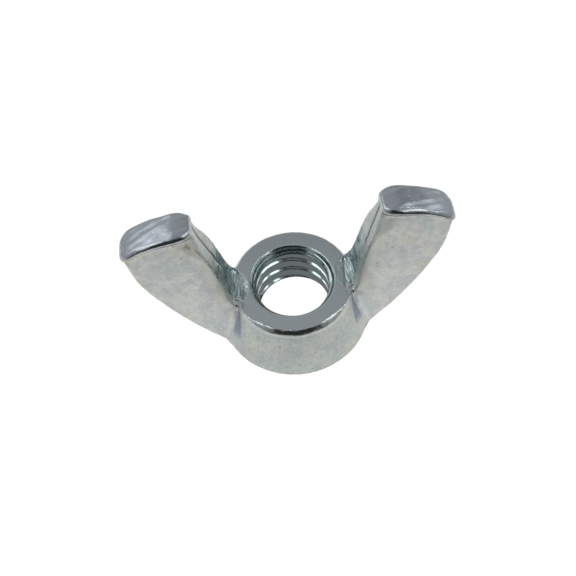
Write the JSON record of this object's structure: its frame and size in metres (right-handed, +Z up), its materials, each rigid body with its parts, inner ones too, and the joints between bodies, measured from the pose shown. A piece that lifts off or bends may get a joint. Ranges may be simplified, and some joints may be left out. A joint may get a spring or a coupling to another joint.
{
  "type": "wing nut",
  "caption": "Forged wing nut with a flared round hub, a tapped through hole and a pair of raised finger wings, tightened by hand.",
  "frame": {"origin": "where the thread axis meets the flat bearing face under the hub", "axes": "+Z up the thread axis from the bearing face towards the wings, +X along the wing span, right-handed"},
  "size_m": [0.024, 0.012, 0.0132],
  "materials": {
    "zinc_plated_steel": "clear-chromated zinc plating over a forged surface, satin"
  },
  "bodies": {
    "root": {"wing_nut_body": "zinc_plated_steel"}
  },
  "joints": []
}
